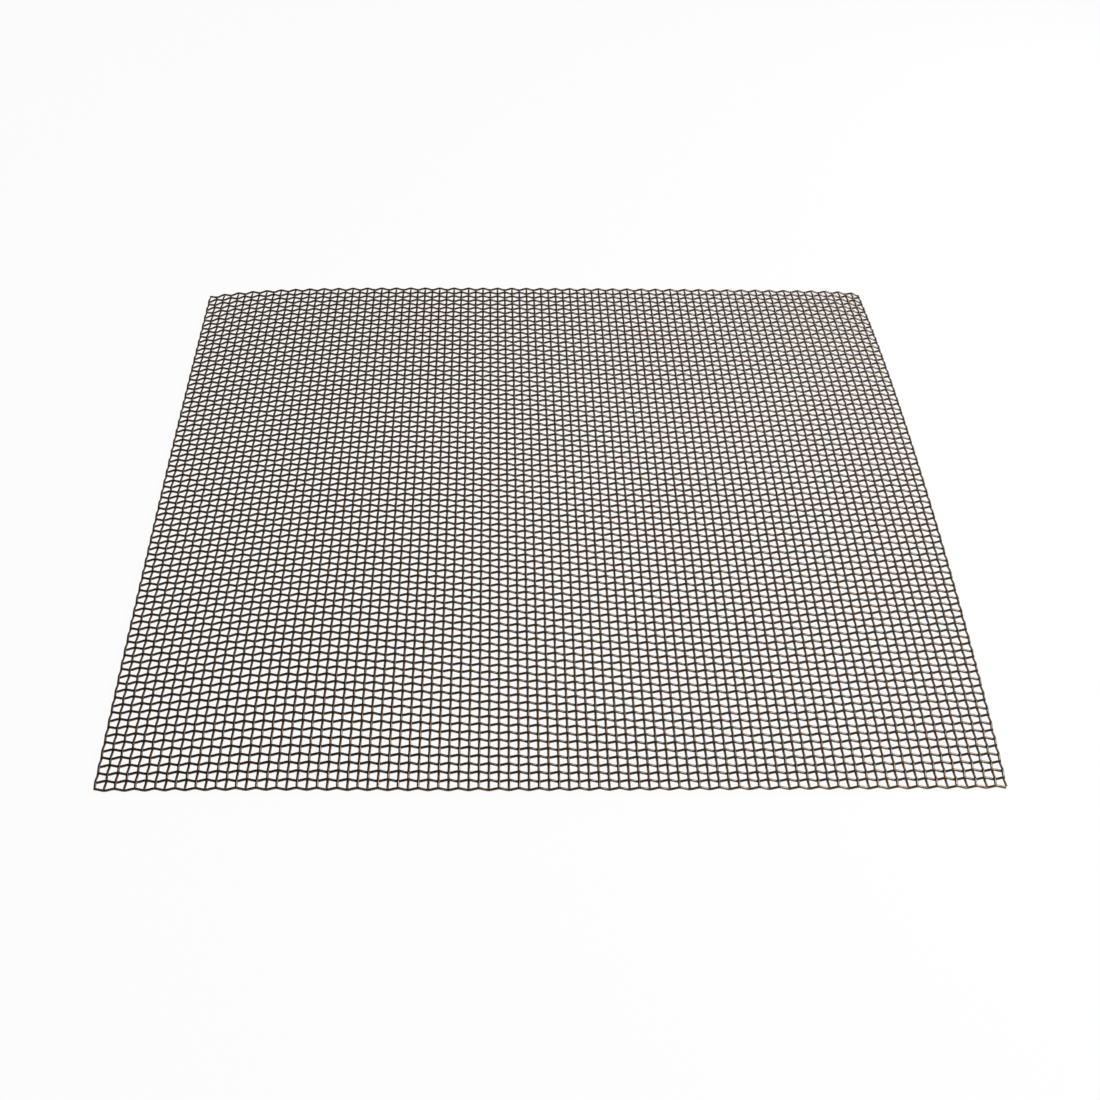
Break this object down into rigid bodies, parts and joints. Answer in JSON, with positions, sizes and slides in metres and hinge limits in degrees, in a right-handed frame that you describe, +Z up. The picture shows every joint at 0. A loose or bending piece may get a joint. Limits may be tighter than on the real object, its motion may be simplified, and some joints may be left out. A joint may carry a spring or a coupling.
{
  "type": "wire gauze",
  "caption": "Square of plain-woven iron wire gauze with cut edges, slightly bowed, laid on a burner's stand to carry a vessel and spread heat under it.",
  "frame": {"origin": "middle of the sheet, at the level of the surface that its front and back edges rest on", "axes": "+X across the sheet along the weft wires, +Y from the front edge to the back edge along the warp wires, +Z up through the sheet"},
  "size_m": [0.127, 0.127, 0.0038],
  "materials": {
    "iron_wire": "drawn iron wire, dull grey with a brownish cast"
  },
  "bodies": {
    "root": {"warp_wires": "iron_wire", "weft_wires": "iron_wire"}
  },
  "joints": []
}
